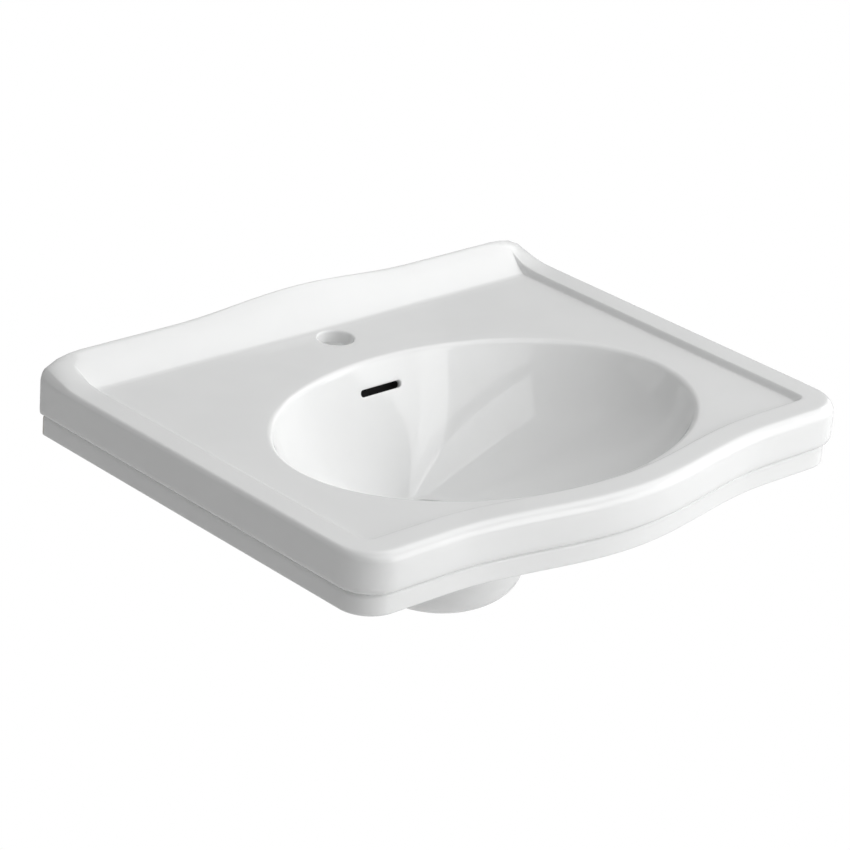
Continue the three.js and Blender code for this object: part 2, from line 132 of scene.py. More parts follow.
class StudioSettings(PropertyGroup):
    """The camera of the studio."""

    turn: FloatProperty(name="Camera turn", description="Camera's angle to the left of the front",
                        default=math.radians(43.64), subtype="ANGLE")
    lift: FloatProperty(name="Camera lift", description="Camera's angle above the horizon",
                        default=math.radians(24.02), subtype="ANGLE")
    roll: FloatProperty(name="Camera roll", description="Tilt of the camera about its axis",
                        default=math.radians(4.41), subtype="ANGLE")
    distance: FloatProperty(name="Camera distance", description="From the camera to its target",
                            default=3.171, unit="LENGTH")
    lens: FloatProperty(name="Focal length", description="Camera lens in millimetres",
                        default=145.81)


# ---------------------------------------------------------------------------
# Outlines and sections of the china
# ---------------------------------------------------------------------------

BACK_STEPS = 96
SIDE_STEPS = 22
CORNER_STEPS = 14
FRONT_STEPS = 72
BACK_CORNER_STEPS = 4
COVE_FOOT = 48 * MM
COVE_TOP = 5 * MM
SHOULDER = 46 * MM
LIP_HALF = 226 * MM
LIP_FRONT = -443 * MM
LIP_BACK = -121 * MM
DRAIN_R = 36 * MM
OVAL_WIDEST = 0.49
THROAT_R = 22.5 * MM
RECESS_DEPTH = 5 * MM
SHELL = 13 * MM
SKIRT_THICK = 14 * MM
APRON_FOOT = -150 * MM
BOSS_Y = -228.7 * MM
BOSS_Z = -171.6 * MM
BOSS_R = 82.3 * MM
BOSS_H = 43.1 * MM
CLAMP_Z = -190 * MM
FIXING_X = 140 * MM
FIXING_Z = -100 * MM
FIXING_HOLE_R = 12.5 * MM
APRON_PAD = 26 * MM
TAP_Y = -66.8 * MM
TAP_R = 17.5 * MM
SLOT_PLACE = (0, -135 * MM, -34 * MM)
SLOT_TILT = math.radians(60)
SLOT_HALF = 21.6 * MM
SLOT_R = 3.4 * MM
SLOT_ROUND = 1.2 * MM


def front_bow(sizes, x):
    """How far the front swells past the corners at x."""
    share = min(abs(x) / sizes.bow_half, 1)
    return sizes.bow * (0.5 + 0.5 * math.cos(math.pi * share))


def outline(sizes, side, front, back):
    """Plan outline set in from the sides, the front and the back, anticlockwise from the back right."""
    x = HALF_WIDTH - side
    y_front = FRONT_Y + sizes.bow + front
    radius = max(sizes.corner - side, 10 * MM)
    tight = max(5 * MM - side, 1 * MM)
    points = []

    def arc(cx, cy, r, start, steps):
        for share in spread(steps):
            a = start + share * math.pi / 2
            points.append((cx + r * math.cos(a), cy + r * math.sin(a)))

    arc(x - tight, -back - tight, tight, 0, BACK_CORNER_STEPS)
    for share in spread(BACK_STEPS)[1:-1]:
        t = 1 - 2 * share
        points.append(((x - tight) * (0.42 * t + 0.58 * t ** 3), -back))
    arc(tight - x, -back - tight, tight, math.pi / 2, BACK_CORNER_STEPS)
    for share in spread(SIDE_STEPS)[1:-1]:
        points.append((-x, mix(-back - tight, y_front + radius, share)))
    arc(radius - x, y_front + radius, radius, math.pi, CORNER_STEPS)
    for share in spread(FRONT_STEPS)[1:-1]:
        px = mix(radius - x, x - radius, share)
        points.append((px, y_front - front_bow(sizes, px)))
    arc(x - radius, y_front + radius, radius, 1.5 * math.pi, CORNER_STEPS)
    for share in spread(SIDE_STEPS)[1:-1]:
        points.append((x, mix(y_front + radius, -back - tight, share)))
    return points


def bowl_angles(sizes):
    """The direction of each outline point seen from the bowl, partly evened out."""
    middle = (LIP_FRONT + LIP_BACK) / 2
    half = (LIP_BACK - LIP_FRONT) / 2
    seen = [math.atan2((y - middle) / half, x / LIP_HALF) for x, y in outline(sizes, 0, 0, 0)]
    start = seen[0]
    count = len(seen)
    return [start + ((a - start) % math.tau) * 0.75 + math.tau * i / count * 0.25
            for i, a in enumerate(seen)]


def oval(angles, half, front, back):
    centre = mix(back, front, OVAL_WIDEST)
    points = []
    for a in angles:
        reach = back - centre if math.sin(a) > 0 else centre - front
        points.append((half * math.cos(a), centre + reach * math.sin(a)))
    return points


def disc(angles, radius, y):
    return [(radius * math.cos(a), y + radius * math.sin(a)) for a in angles]


def crest(sizes, x):
    """Height of the back upstand above the rim at x."""
    hump = sizes.hump * (0.5 + 0.5 * math.cos(math.pi * min(abs(x) / (150 * MM), 1)))
    end = clamp((abs(x) - HALF_WIDTH + SHOULDER) / SHOULDER)
    base = CREST_Z - sizes.hump
    return (base + hump) * (1 - end ** 2.1) ** (1 / 2.1)


def cove(y):
    """Share of the crest's height that the upstand has reached at y."""
    t = clamp((y + COVE_FOOT) / (COVE_FOOT - COVE_TOP))
    return mix(t ** 1.75, ease(t), 0.55)


def wall(depth, straight):
    """Share of the bowl's reach that is left at a share of its depth."""
    return straight * (1 - depth) + (1 - straight) * (1 - depth ** 2.3)


def bowl_section(angles, sizes, depth, out=0.0):
    """The oval of the bowl at a share of the depth under its lip, moved out by the shell."""
    inset = sizes.lip * math.sin(math.pi / 3)

    def reach(end, drain, straight):
        return drain + (end - drain) * wall(depth, straight)

    half = reach(LIP_HALF - inset, DRAIN_R, 0.3)
    front = reach(LIP_FRONT + inset, DRAIN_Y - DRAIN_R, 0.3)
    back = reach(LIP_BACK - inset, DRAIN_Y + DRAIN_R, 0.75)
    return oval(angles, half + out, front - out, back + out)


def blend_points(a, b, share):
    return [(mix(p[0], q[0], share), mix(p[1], q[1], share)) for p, q in zip(a, b)]


def apron_share(x):
    """1 where the apron hangs down behind the bowl, 0 beside it."""
    return 1 - ease((abs(x) - 174 * MM) / (40 * MM))


def pad_share(x):
    """1 on the thick pads round the fixing holes."""
    return 1 - ease((abs(abs(x) - FIXING_X) - 21 * MM) / (14 * MM))


def rib_share(x):
    """1 on the swelling that holds the overflow channel."""
    return 1 - ease((abs(x) - 20 * MM) / (22 * MM))


def on_back(sizes):
    """For each outline point, whether it lies on the straight back."""
    return [1.0 if y > -6 * MM and abs(x) < HALF_WIDTH - 5.5 * MM else 0.0
            for x, y in outline(sizes, 0, 0, 0)]


class ChinaRings:
    """Rings of points from the drain up the bowl, over the rim, down the side and back to the throat."""

    def __init__(self, sizes):
        self.sizes = sizes
        self.angles = bowl_angles(sizes)
        self.back_points = on_back(sizes)
        self.floor = DRAIN_Z - RECESS_DEPTH
        self.top = -sizes.deck_drop - sizes.lip / 2
        self.under = -sizes.deck_drop - sizes.deck_thick
        self.shell = oval(self.angles, LIP_HALF + SHELL + 4 * MM, LIP_FRONT - SHELL + 4 * MM,
                          LIP_BACK + SHELL + 4 * MM)
        self.rings = []

    def flat(self, points, z):
        self.rings.append([Vector((x, y, z)) for x, y in points])

    def rim(self, side, front, back, z):
        points = outline(self.sizes, side, front, back)
        self.rings.append([Vector((x, y, z + crest(self.sizes, x) * cove(y))) for x, y in points])

    def hanging(self, points, share, z_side, z_top, deepen=0.0):
        """A ring on the skirt, which reaches down to the apron's foot at the back."""
        ring = []
        for (x, y), at_back in zip(points, self.back_points):
            foot = mix(-self.sizes.skirt, APRON_FOOT, apron_share(x))
            z = mix(z_side, mix(z_top, foot, share), at_back)
            y -= at_back * deepen * pad_share(x) * apron_share(x)
            ring.append(Vector((x, y, z)))
        self.rings.append(ring)

    def swell(self, points, z, amount):
        """A ring on the outside of the bowl, pushed out at the back over the overflow channel."""
        ring = []
        for x, y in points:
            behind = clamp((y - DRAIN_Y) / (30 * MM))
            ring.append(Vector((x, y + amount * rib_share(x) * ease(behind), z)))
        self.rings.append(ring)

    def bowl(self):
        """From the throat over the drain recess up to the lip."""
        sizes = self.sizes
        angles = self.angles
        self.flat(disc(angles, THROAT_R, DRAIN_Y), self.floor - 1.5 * MM)
        for share in spread(4)[1:]:
            a = share * math.pi / 2
            self.flat(disc(angles, THROAT_R + 1.5 * MM * (1 - math.cos(a)), DRAIN_Y),
                      self.floor - 1.5 * MM * (1 - math.sin(a)))
        self.flat(disc(angles, DRAIN_R - 4 * MM, DRAIN_Y), self.floor)
        for share in spread(5):
            a = share * math.pi / 2
            self.flat(disc(angles, DRAIN_R - 3.2 * MM + 2 * MM * math.sin(a), DRAIN_Y),
                      self.floor + 2 * MM * (1 - math.cos(a)))
        for share in spread(5)[:-1]:
            a = share * math.pi / 2
            self.flat(disc(angles, DRAIN_R - 1.2 * MM + 1.2 * MM * (1 - math.cos(a)), DRAIN_Y),
                      DRAIN_Z - 1.4 * MM * (1 - math.sin(a)))
        for share in spread(46):
            depth = 1 - share
            self.flat(bowl_section(angles, sizes, depth), mix(self.top, DRAIN_Z, depth))
        for share in spread(7)[1:]:
            a = math.pi / 3 * (1 - share)
            inset = sizes.lip * math.sin(a)
            self.flat(oval(angles, LIP_HALF - inset, LIP_FRONT + inset, LIP_BACK - inset),
                      -sizes.deck_drop - sizes.lip * (1 - math.cos(a)))

    def deck_and_rim(self):
        """The deck, the raised rim and the band below it."""
        sizes = self.sizes
        angles = self.angles
        lip = oval(angles, LIP_HALF, LIP_FRONT, LIP_BACK)
        foot = outline(sizes, 33 * MM, 39 * MM, COVE_FOOT)
        for share in spread(9)[1:]:
            self.flat(blend_points(lip, foot, share), -sizes.deck_drop)
        for share in spread(14)[1:]:
            self.rim(mix(33, 26.5, share) * MM, mix(39, 31.5, share) * MM, mix(48, 17, share) * MM,
                     -sizes.deck_drop * (1 - ease(share)))
        for share in spread(6)[1:]:
            self.rim(mix(26.5, 5, share) * MM, mix(31.5, 11, share) * MM, mix(17, 6, share) * MM, 0)
        side = outline(sizes, 0, 0, 0)

        def edge_drop(y):
            """Height of the rounded top edge: tight along the sides, fuller at the front and back."""
            return mix(5, 10, max(ease((-y - 395 * MM) / (50 * MM)), ease((y + 40 * MM) / (20 * MM)))) * MM

        for share in spread(9)[1:]:
            a = share * math.pi / 2
            inset = 1 - math.sin(a)
            points = outline(sizes, 5 * MM * inset, 11 * MM * inset, 6 * MM * inset)
            self.rings.append([Vector((x, y, crest(sizes, x) * cove(y) - edge_drop(y0) * (1 - math.cos(a))))
                          for (x, y), (_, y0) in zip(points, side)])
        for share in spread(6)[1:]:
            ring = []
            for x, y in side:
                start = crest(sizes, x) * cove(y) - edge_drop(y)
                ring.append(Vector((x, y, mix(start, -31.5 * MM, share))))
            self.rings.append(ring)
        for share in spread(7)[1:]:
            a = share * math.pi / 2
            inset = 6 * MM * (1 - math.cos(a))
            self.flat(outline(sizes, inset, inset, 0), mix(-31.5 * MM, -sizes.groove, math.sin(a)))

    def lower_band(self):
        """The notch and the set-in band under the rim, down to its foot."""
        sizes = self.sizes
        step = sizes.step
        for inset, drop in ((1.3, 0.25), (2.0, 0.9), (2.0, 1.5), (1.0, 2.3), (0.25, 2.9)):
            points = outline(sizes, step + inset * MM, step + inset * MM, 0)
            self.hanging(points, 0.01 * drop, -sizes.groove - drop * MM, -sizes.groove)
        for share in spread(9)[1:]:
            self.hanging(outline(sizes, step, step, 0), mix(0.05, 0.97, share),
                         mix(-sizes.groove - 3.4 * MM, -sizes.skirt + 2.5 * MM, share), -sizes.groove)
        for share in spread(5)[1:]:
            a = share * math.pi / 2
            inset = step + 2.5 * MM * (1 - math.cos(a))
            points = outline(sizes, inset, inset, 2.5 * MM * (1 - math.cos(a)))
            self.hanging(points, mix(0.97, 1.0, math.sin(a)), -sizes.skirt + 2.5 * MM * (1 - math.sin(a)),
                         -sizes.groove)

    def inside_skirt(self):
        """Up the inside of the skirt and under the deck."""
        sizes = self.sizes
        inner = sizes.step + SKIRT_THICK
        back_thick = 14 * MM
        for share in spread(5):
            a = share * math.pi / 2
            inset = inner - 3 * MM * (1 - math.sin(a))
            points = outline(sizes, inset, inset, back_thick - 3 * MM * (1 - math.sin(a)))
            self.hanging(points, mix(1.0, 0.97, 1 - math.cos(a)), -sizes.skirt + 3 * MM * (1 - math.cos(a)),
                         -sizes.groove, 12 * MM * ease(share))
        for share in spread(10)[1:]:
            inset = inner + 2 * MM * share
            points = outline(sizes, inset, inset, back_thick + 2 * MM * share)
            self.hanging(points, 0.97 * (1 - share), mix(-sizes.skirt + 3 * MM, self.under - 8 * MM, share),
                         self.under - 8 * MM, 12 * MM)
        for share in spread(6)[1:]:
            a = share * math.pi / 2
            inset = inner + 2 * MM + 8 * MM * (1 - math.cos(a))
            points = outline(sizes, inset, inset, back_thick + 2 * MM + 8 * MM * (1 - math.cos(a)))
            z = self.under - 8 * MM * (1 - math.sin(a))
            self.hanging(points, 0, z, z, 12 * MM * (1 - share))
        edge = outline(sizes, inner + 10 * MM, inner + 10 * MM, back_thick + 10 * MM)
        for share in spread(8)[1:]:
            self.flat(blend_points(edge, self.shell, share), self.under)

    def under_bowl(self):
        """The outside of the bowl."""
        sizes = self.sizes
        angles = self.angles
        for share in spread(5)[1:]:
            a = share * math.pi / 2
            points = blend_points(self.shell, bowl_section(angles, sizes, 0.11, SHELL), math.sin(a))
            z = mix(self.under, mix(self.top, DRAIN_Z, 0.11) - 9 * MM, 1 - math.cos(a))
            self.swell(points, z, 15 * MM * share)
        for share in spread(20)[1:]:
            depth = mix(0.11, 0.76, share)
            self.swell(bowl_section(angles, sizes, depth, SHELL), mix(self.top, DRAIN_Z, depth) - 9 * MM,
                       15 * MM)
        low = bowl_section(angles, sizes, 0.76, SHELL)
        low_z = mix(self.top, DRAIN_Z, 0.76) - 9 * MM
        waist = disc(angles, BOSS_R, BOSS_Y)
        for share in spread(12)[1:]:
            points = blend_points(low, waist, ease(share) * 0.35 + share * 0.65)
            points = blend_points(points, waist, ease(share))
            self.swell(points, mix(low_z, BOSS_Z, share), 15 * MM * (1 - ease(share)))

    def boss(self):
        """The rounded boss, its foot and the seat of the waste."""
        angles = self.angles
        for share in spread(12)[1:]:
            a = share * math.radians(50)
            self.flat(disc(angles, BOSS_R * math.cos(a), BOSS_Y), BOSS_Z - BOSS_H * math.sin(a))
        last_r = BOSS_R * math.cos(math.radians(50))
        last_z = BOSS_Z - BOSS_H * math.sin(math.radians(50))
        for share in spread(4)[1:]:
            self.flat(disc(angles, last_r - 5 * MM * share, BOSS_Y),
                      mix(last_z, BOSS_FOOT_Z, ease(share) * 0.5 + share * 0.5))
        mouth = disc(angles, 38 * MM, DRAIN_Y - 2 * MM)
        self.flat(blend_points(disc(angles, last_r - 5 * MM, BOSS_Y), mouth, 0.5), BOSS_FOOT_Z)
        for share in spread(4):
            a = share * math.pi / 2
            self.flat(disc(angles, (38 - 1.5 * math.sin(a)) * MM, DRAIN_Y - 2 * MM),
                      BOSS_FOOT_Z + 1.5 * MM * (1 - math.cos(a)))
        self.flat(disc(angles, 36.3 * MM, DRAIN_Y), CLAMP_Z - 1 * MM)
        self.flat(disc(angles, 35.3 * MM, DRAIN_Y), CLAMP_Z)
        self.flat(disc(angles, THROAT_R + 1 * MM, DRAIN_Y), CLAMP_Z)
        self.flat(disc(angles, THROAT_R, DRAIN_Y), CLAMP_Z + 1 * MM)
        self.flat(disc(angles, THROAT_R, DRAIN_Y), mix(CLAMP_Z, self.floor, 0.5))


def china_rings(sizes):
    china = ChinaRings(sizes)
    china.bowl()
    china.deck_and_rim()
    china.lower_band()
    china.inside_skirt()
    china.under_bowl()
    china.boss()
    return china.rings


# ---------------------------------------------------------------------------
# Mesh tools
# ---------------------------------------------------------------------------


def skin_through(rings):
    """One circle extruded from ring to ring and closed on itself."""
    bm = bmesh.new()
    made = bmesh.ops.create_circle(bm, segments=len(rings[0]), radius=1.0)
    place_of = {v: i for i, v in enumerate(made["verts"])}
    for v, i in place_of.items():
        v.co = rings[0][i]
    edges = bm.edges[:]
    for ring in [*rings[1:], rings[0]]:
        geom = bmesh.ops.extrude_edge_only(bm, edges=edges)["geom"]
        new = {g for g in geom if isinstance(g, bmesh.types.BMVert)}
        places = {}
        for v in new:
            below = next(e.other_vert(v) for e in v.link_edges if e.other_vert(v) in place_of)
            places[v] = place_of[below]
        for v, i in places.items():
            v.co = ring[i]
        edges = [g for g in geom if isinstance(g, bmesh.types.BMEdge) and all(v in new for v in g.verts)]
        place_of = places
    bmesh.ops.remove_doubles(bm, verts=bm.verts, dist=0.01 * MM)
    return bm


def face_out(bm):
    """Turns every face of a closed skin outwards."""
    bmesh.ops.recalc_face_normals(bm, faces=bm.faces)
    if bm.calc_volume(signed=True) < 0:
        bmesh.ops.reverse_faces(bm, faces=bm.faces)


def open_patch(bm, near):
    """Deletes the faces that have a corner for which near() is true and returns the edge of that gap."""
    doomed = [f for f in bm.faces if any(near(v.co) for v in f.verts)]
    if not doomed:
        raise RuntimeError("no faces where the opening should be")
    gone = set(doomed)
    edges = dict.fromkeys(e for f in doomed for e in f.edges)
    rim = [e for e in edges if any(f not in gone for f in e.link_faces)]
    bmesh.ops.delete(bm, geom=doomed, context="FACES")
    return rim


def draw_in(bm, edges, move):
    """Extrudes the edge of a gap and moves each new point by move(point)."""
    geom = bmesh.ops.extrude_edge_only(bm, edges=edges)["geom"]
    new = {g for g in geom if isinstance(g, bmesh.types.BMVert)}
    for v in new:
        v.co = move(v.co)
    return [g for g in geom if isinstance(g, bmesh.types.BMEdge) and all(v in new for v in g.verts)]


def new_piece(name, bm, body, slot, *nodes):
    """Makes an object of a finished bmesh, smooth, riding on a body in place of CAD nodes."""
    mesh = bpy.data.meshes.new(name)
    bm.to_mesh(mesh)
    bm.free()
    piece = bpy.data.objects.new(name, mesh)
    bpy.context.scene.collection.objects.link(piece)
    for polygon in mesh.polygons:
        polygon.use_smooth = True
    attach(piece, body)
    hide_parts(*nodes)
    return piece


# ---------------------------------------------------------------------------
# Openings in the china
# ---------------------------------------------------------------------------


def round_hole(centre, radius, axis, depth_at):
    """Moves a point onto a circle about an axis at a given place along it."""
    across = [i for i in range(3) if i != axis]

    def move(co):
        out = Vector((0, 0, 0))
        for i in across:
            out[i] = co[i] - centre[i]
        out = out.normalized() * radius
        place = Vector(centre) + out
        place[axis] = depth_at
        return place

    return move


def near_hole(centre, radius, axis, depth, slack=12 * MM):
    across = [i for i in range(3) if i != axis]

    def near(co):
        aside = math.hypot(*[co[i] - centre[i] for i in across])
        return aside < radius and abs(co[axis] - depth) < slack

    return near


def cut_through(bm, centre, radius, axis, low, high, round_high, round_low):
    """Cuts a round hole along an axis between two parallel faces and rounds both its edges."""
    gaps = []
    for depth, rounding, inward in ((high, round_high, -1), (low, round_low, 1)):
        near = near_hole(centre, radius + rounding + 1 * MM, axis, depth)
        gaps.append((open_patch(bm, near), depth, rounding, inward))
    ends = []
    for edges, depth, rounding, inward in gaps:
        reach = radius + rounding
        edges = draw_in(bm, edges, round_hole(centre, reach, axis, depth))
        for share in spread(6)[1:]:
            a = share * math.pi / 2
            edges = draw_in(bm, edges, round_hole(
                centre, reach - rounding * math.sin(a), axis, depth + inward * rounding * (1 - math.cos(a))))
        ends.append(edges)
    bmesh.ops.bridge_loops(bm, edges=ends[0] + ends[1])


def cut_overflow(bm):
    """Sinks the overflow slot into the back wall of the bowl and rounds its edge."""
    centre = Vector(SLOT_PLACE)
    out = Vector((0, -math.sin(SLOT_TILT), math.cos(SLOT_TILT)))
    up = Vector((0, math.cos(SLOT_TILT), math.sin(SLOT_TILT)))
    half, radius, rounding = SLOT_HALF, SLOT_R, SLOT_ROUND
    tree = BVHTree.FromBMesh(bm)

    def flat_place(co):
        gap = co - centre
        return gap.x, gap.dot(up), gap.dot(out)

    def aside(co):
        u, v, _ = flat_place(co)
        return math.hypot(u - clamp(u, -half, half), v)

    def near(co):
        return aside(co) < radius + rounding + 0.8 * MM and abs(flat_place(co)[2]) < 12 * MM

    def on_slot(offset, sink):
        def move(co):
            u, v, _ = flat_place(co)
            foot = clamp(u, -half, half)
            reach = Vector((u - foot, v)).normalized() * (radius + offset)
            start = centre + Vector((foot + reach.x, 0, 0)) + up * reach.y
            hit = tree.ray_cast(start + out * 40 * MM, -out)[0]
            return (hit or start) - out * sink
        return move

    edges = open_patch(bm, near)
    edges = draw_in(bm, edges, on_slot(rounding, 0))
    for share in spread(5)[1:]:
        a = share * math.pi / 2
        edges = draw_in(bm, edges, on_slot(rounding * (1 - math.sin(a)), rounding * (1 - math.cos(a))))
    edges = draw_in(bm, edges, on_slot(0, 3 * MM))
    # The two deepest rings of the pocket are weighted for painted shade; the glaze paints them near black in
    # place of a real overflow channel.
    painted_pocket_shade = bm.verts.layers.float.get("painted_pocket_shade")
    for sink in (6, 13):
        edges = draw_in(bm, edges, on_slot(0, sink * MM))
        for v in {v for e in edges for v in e.verts}:
            v[painted_pocket_shade] = 1.0
    bmesh.ops.edgeloop_fill(bm, edges=edges)


def china_body(sizes):
    bm = skin_through(china_rings(sizes))
    # Vertex weight for the painted shade in the pocket behind the overflow slot.
    bm.verts.layers.float.new("painted_pocket_shade")
    deck = -sizes.deck_drop
    cut_overflow(bm)
    cut_through(bm, (0, TAP_Y, deck), TAP_R, 2, deck - sizes.deck_thick, deck, 2.2 * MM, 2 * MM)
    for side in (-1, 1):
        cut_through(bm, (side * FIXING_X, 0, FIXING_Z), FIXING_HOLE_R, 1, -APRON_PAD, 0, 1 * MM, 1 * MM)
    face_out(bm)
    return bm


# ---------------------------------------------------------------------------
# Turned pieces, nuts and threads
# ---------------------------------------------------------------------------

TURN_STEPS = 96


def ring_at(radius, z, steps=TURN_STEPS):
    """One ring of points; the radius is a number or a function of the angle."""
    points = []
    for i in range(steps):
        a = math.tau * i / steps
        r = radius(a) if callable(radius) else radius
        points.append(Vector((r * math.cos(a), r * math.sin(a), z)))
    return points


def turned(profile, steps=TURN_STEPS):
    """A solid turned about Z from a closed list of (radius, height) in millimetres."""
    bm = skin_through([ring_at(r * MM, z * MM, steps) for r, z in profile])
    face_out(bm)
    return bm


def crease(bm, degrees=32):
    """Keeps the edges that fold more than this sharp."""
    for edge in bm.edges:
        edge.smooth = len(edge.link_faces) != 2 or edge.calc_face_angle(0) < math.radians(degrees)


def washer(inner, outer, low, high, edge=0.4):
    return turned([(inner, low), (outer - edge, low), (outer, low + edge), (outer, high - edge),
                   (outer - edge, high), (inner, high)])


def hexagon(across_flats, limit):
    """Radius of a hexagon at an angle, cut off by a cone of this radius."""
    def radius(a):
        aside = (a + math.pi / 6) % (math.pi / 3) - math.pi / 6
        return min(across_flats / 2 / math.cos(aside), limit)
    return radius


def hex_nut(across_flats, hole, low, high):
    """A hexagon nut with both ends chamfered, in millimetres."""
    corner = across_flats / math.sqrt(3)
    flat = across_flats / 2
    rings = [(hole + 0.8, low), (flat, low), (corner, low + (corner - flat) * 0.55),
             (corner, high - (corner - flat) * 0.55), (flat, high), (hole + 0.8, high),
             (hole, high - 0.8), (hole, low + 0.8)]
    made = []
    for r, z in rings:
        shape = hexagon(across_flats * MM, r * MM) if r > hole + 1 else r * MM
        made.append(ring_at(shape, z * MM))
    bm = skin_through(made)
    face_out(bm)
    return bm


def thread(bm, radius, pitch, low, high, steps=32):
    """Winds a ridge round a shaft, its crest at the radius, in millimetres."""
    turns = (high - low) / pitch - 1
    ridge = bmesh.ops.create_circle(bm, cap_ends=True, segments=3, radius=0.55 * pitch * MM)
    bmesh.ops.rotate(bm, verts=ridge["verts"], matrix=Matrix.Rotation(math.pi / 2, 3, "X"))
    bmesh.ops.rotate(bm, verts=ridge["verts"], matrix=Matrix.Rotation(-math.pi / 2, 3, "Y"))
    reach = max(v.co.x for v in ridge["verts"])
    bmesh.ops.translate(bm, verts=ridge["verts"],
                        vec=(radius * MM - reach, 0, (low + pitch / 2) * MM))
    face = ridge["verts"][0].link_faces[:]
    count = round(turns * steps)
    bmesh.ops.spin(bm, geom=face, axis=(0, 0, 1), cent=(0, 0, 0), angle=math.tau * count / steps, steps=count,
                   dvec=Vector((0, 0, pitch * MM / steps)))
    open_edges = [e for e in bm.edges if e.is_boundary]
    if open_edges:
        bmesh.ops.holes_fill(bm, edges=open_edges, sides=0)
    bmesh.ops.recalc_face_normals(bm, faces=bm.faces)


def along_fixing(bm, side):
    """Turns a piece from the Z axis to the fixing's axis, which runs into the wall."""
    bmesh.ops.rotate(bm, verts=bm.verts, matrix=Matrix.Rotation(-math.pi / 2, 3, "X"))
    bmesh.ops.translate(bm, verts=bm.verts, vec=(side * FIXING_X, 0, FIXING_Z))
    return bm


def at_drain(bm):
    bmesh.ops.translate(bm, verts=bm.verts, vec=(0, DRAIN_Y, 0))
    return bm


# ---------------------------------------------------------------------------
# Finishes
# ---------------------------------------------------------------------------


def new_material(name):
    material = bpy.data.materials.new(name)
    material.use_nodes = True
    nodes = material.node_tree.nodes
    return material, nodes, material.node_tree.links, nodes["Principled BSDF"]


def add_noise(nodes, links, scale, detail=2.0):
    """A noise on the object's own coordinates; the scale is in waves per metre."""
    place = nodes.new("ShaderNodeTexCoord")
    noise = nodes.new("ShaderNodeTexNoise")
    noise.inputs["Scale"].default_value = scale
    noise.inputs["Detail"].default_value = detail
    links.new(place.outputs["Object"], noise.inputs["Vector"])
    return noise


def ripple_group():
    """A group that gives the normal of a faintly uneven surface."""
    group = bpy.data.node_groups.get("Ripple")
    if group:
        return group
    group = bpy.data.node_groups.new("Ripple", "ShaderNodeTree")
    face = group.interface
    waves = face.new_socket("Waves per metre", in_out="INPUT", socket_type="NodeSocketFloat")
    depth = face.new_socket("Depth", in_out="INPUT", socket_type="NodeSocketFloat")
    waves.default_value = 40
    depth.default_value = 0.0001
    face.new_socket("Normal", in_out="OUTPUT", socket_type="NodeSocketVector")
    start = group.nodes.new("NodeGroupInput")
    end = group.nodes.new("NodeGroupOutput")
    noise = add_noise(group.nodes, group.links, 1.0)
    bump = group.nodes.new("ShaderNodeBump")
    group.links.new(start.outputs["Waves per metre"], noise.inputs["Scale"])
    group.links.new(start.outputs["Depth"], bump.inputs["Distance"])
    group.links.new(noise.outputs["Fac"], bump.inputs["Height"])
    group.links.new(bump.outputs["Normal"], end.inputs["Normal"])
    return group


def ripple(nodes, links, shader, waves, depth):
    node = nodes.new("ShaderNodeGroup")
    node.node_tree = ripple_group()
    node.inputs["Waves per metre"].default_value = waves
    node.inputs["Depth"].default_value = depth
    links.new(node.outputs["Normal"], shader.inputs["Normal"])


def between(nodes, links, value, low, high, at_low=0.0, at_high=1.0):
    """Maps a value from low..high to at_low..at_high with soft ends."""
    node = nodes.new("ShaderNodeMapRange")
    node.interpolation_type = "SMOOTHSTEP"
    node.inputs["From Min"].default_value = low
    node.inputs["From Max"].default_value = high
    node.inputs["To Min"].default_value = at_low
    node.inputs["To Max"].default_value = at_high
    links.new(value, node.inputs["Value"])
    return node.outputs["Result"]


def combine(nodes, links, a, b, operation):
    node = nodes.new("ShaderNodeMath")
    node.operation = operation
    for socket, value in zip(node.inputs, (a, b)):
        if isinstance(value, float):
            socket.default_value = value
        else:
            links.new(value, socket)
    return node.outputs[0]


def mix_colour(nodes, links, share, a, b):
    node = nodes.new("ShaderNodeMix")
    node.data_type = "RGBA"
    links.new(share, node.inputs["Factor"])
    for socket, value in (("A", a), ("B", b)):
        target = next(i for i in node.inputs if i.name == socket and i.type == "RGBA")
        if isinstance(value, tuple):
            target.default_value = value
        else:
            links.new(value, target)
    return next(o for o in node.outputs if o.type == "RGBA")


